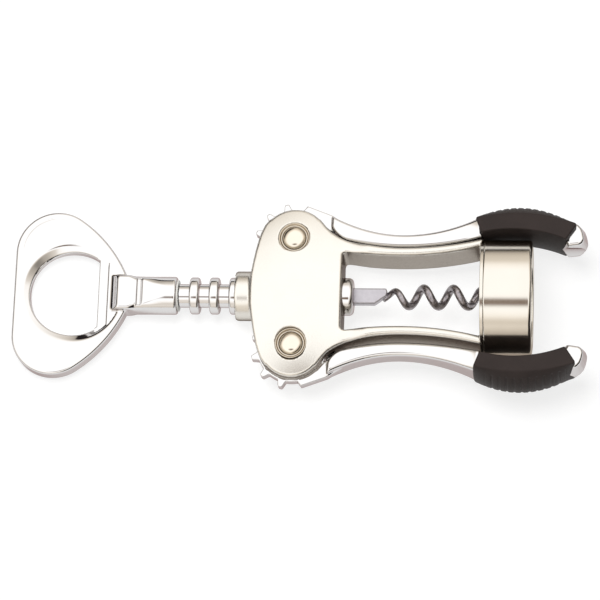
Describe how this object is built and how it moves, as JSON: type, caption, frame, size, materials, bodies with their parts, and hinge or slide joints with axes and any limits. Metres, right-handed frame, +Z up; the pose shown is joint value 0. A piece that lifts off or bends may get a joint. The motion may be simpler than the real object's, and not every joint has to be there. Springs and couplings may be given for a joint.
{
  "type": "lever corkscrew",
  "caption": "Winged lever corkscrew: ringed rack spindle and worm in a satin frame with bell, chrome gear levers with rubber grips, cap lifter handle.",
  "frame": {"origin": "centre of the bell's mouth, on the worm axis", "axes": "+X along the worm axis out of the bell's mouth, +Y across to the upper lever, +Z up through the domed front of the head; the tool lies on its back"},
  "size_m": [0.1796, 0.06, 0.0358],
  "materials": {
    "satin_nickel": "satin",
    "chrome": "polished",
    "worm_steel": "dark, fine textured",
    "steel": "turned",
    "soft_grip": "matt, ribbed",
    "bush_plastic": "matt",
    "seat_plastic": "matt"
  },
  "bodies": {
    "body": {"frame": "satin_nickel", "bell": "satin_nickel", "seat_ring": "seat_plastic", "collar_bush": "bush_plastic", "rivets": "chrome", "rivet_washers": "seat_plastic"},
    "upper_arm": {"upper_lever": "chrome", "upper_grip": "soft_grip"},
    "lower_arm": {"lower_lever": "chrome", "lower_grip": "soft_grip"},
    "rack": {"rack_sleeve": "chrome"},
    "screw": {"handle": "chrome", "handle_pin": "steel", "core_rod": "steel", "thrust_washer": "seat_plastic", "ferrule": "chrome", "worm": "worm_steel"}
  },
  "joints": [
    {"name": "upper_lever_pivot", "type": "hinge", "parent": "body", "child": "upper_arm", "pos_m": [-0.0742, 0.01706, 0], "axis": [0, 0, 1], "range_deg": [0, 150]},
    {"name": "lower_lever_pivot", "type": "hinge", "parent": "body", "child": "lower_arm", "pos_m": [-0.0742, -0.01706, 0], "axis": [0, 0, -1], "range_deg": [0, 150]},
    {"name": "rack_slide", "type": "slide", "parent": "body", "child": "rack", "axis": [1, 0, 0], "range_m": [0, 0.0312]},
    {"name": "handle_spin", "type": "hinge", "parent": "rack", "child": "screw", "pos_m": [-0.0742, 0, 0], "axis": [1, 0, 0], "continuous": true}
  ],
  "couplings": [
    {"joint": "lower_lever_pivot", "follows": "upper_lever_pivot", "ratio": 1},
    {"joint": "rack_slide", "follows": "upper_lever_pivot", "m_per_rad": 0.011879}
  ]
}
